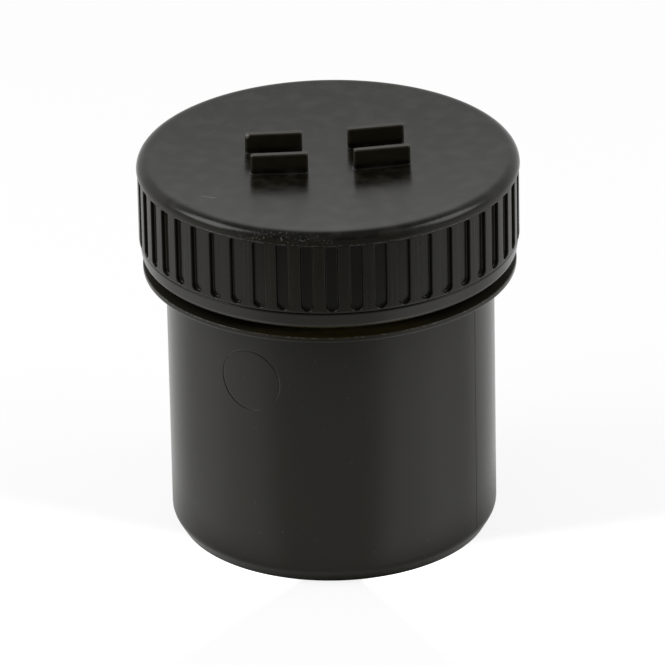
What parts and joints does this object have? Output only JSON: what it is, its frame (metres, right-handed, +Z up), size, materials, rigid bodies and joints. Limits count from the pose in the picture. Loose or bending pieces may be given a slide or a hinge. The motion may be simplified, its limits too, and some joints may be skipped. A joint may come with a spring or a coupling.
{
  "type": "pipe access plug",
  "caption": "Solvent-weld pipe access plug in black plastic: a plain spigot with a stop flange, closed by a ribbed screw cap with key lugs on a flat rubber washer.",
  "frame": {"origin": "middle of the spigot's open end, which the plug stands on", "axes": "+Z runs up the plug's axis from the open end to the cap; +X runs along the lugs on the cap"},
  "size_m": [0.065, 0.065, 0.0703],
  "materials": {
    "body_plastic": "black semi-gloss moulded plastic",
    "washer_rubber": "matt black rubber",
    "cap_plastic": "black satin moulded plastic"
  },
  "bodies": {
    "body": {"spigot_body": "body_plastic"},
    "seal": {"seal_washer": "washer_rubber"},
    "cap": {"screw_cap": "cap_plastic"}
  },
  "joints": [
    {"name": "cap_lift", "type": "slide", "parent": "body", "child": "seal", "axis": [0, 0, 1], "range_m": [0, 0.0101]},
    {"name": "cap_turn", "type": "hinge", "parent": "seal", "child": "cap", "pos_m": [0, 0, 0.066], "axis": [0, 0, 1], "range_deg": [0, 900]}
  ],
  "couplings": [
    {"joint": "cap_lift", "follows": "cap_turn", "m_per_rad": 0.00063662}
  ]
}
